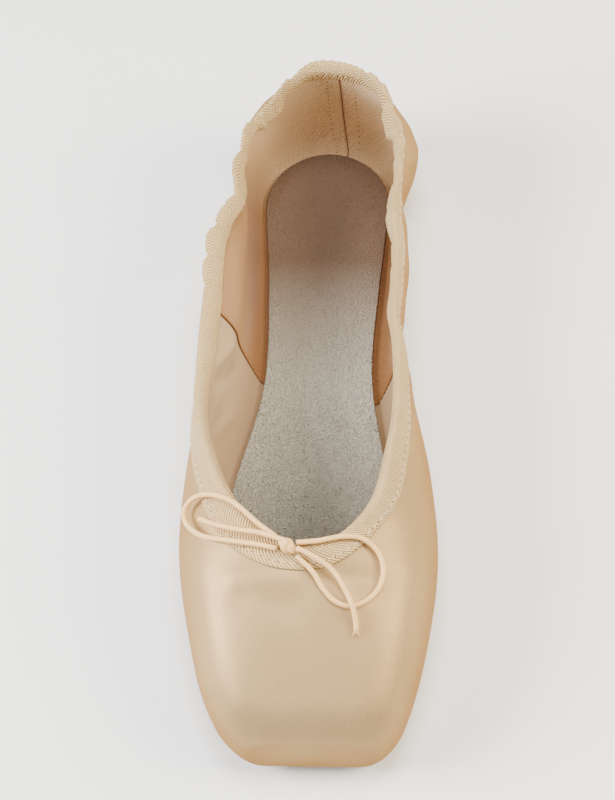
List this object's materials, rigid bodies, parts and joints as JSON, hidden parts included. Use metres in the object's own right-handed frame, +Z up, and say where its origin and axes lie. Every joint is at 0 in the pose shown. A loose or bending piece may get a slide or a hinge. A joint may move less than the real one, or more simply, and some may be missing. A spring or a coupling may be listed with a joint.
{
  "type": "pointe shoe",
  "caption": "Satin ballet pointe shoe with a stiff, flat-tipped box, a twill-bound collar, a drawstring bow at the throat, a grained insole and a narrow leather sole.",
  "frame": {"origin": "on the floor under the middle of the shoe's box", "axes": "+Z up, +Y from the toe to the heel, +X to the right when looking from the toe towards the heel"},
  "size_m": [0.0812, 0.2352, 0.0529],
  "materials": {
    "satin": "pale peach satin with a soft sheen",
    "binding": "cream herringbone twill tape",
    "outsole": "natural buffed leather",
    "insole": "grey-beige pebbled grain",
    "drawstring": "cream woven cord"
  },
  "bodies": {
    "root": {"upper": "satin", "binding": "binding", "outsole": "outsole", "insole": "insole", "drawstring_knot": "drawstring", "drawstring_loop_left": "drawstring", "drawstring_loop_right": "drawstring", "drawstring_tail_left": "drawstring", "drawstring_tail_right": "drawstring"}
  },
  "joints": []
}
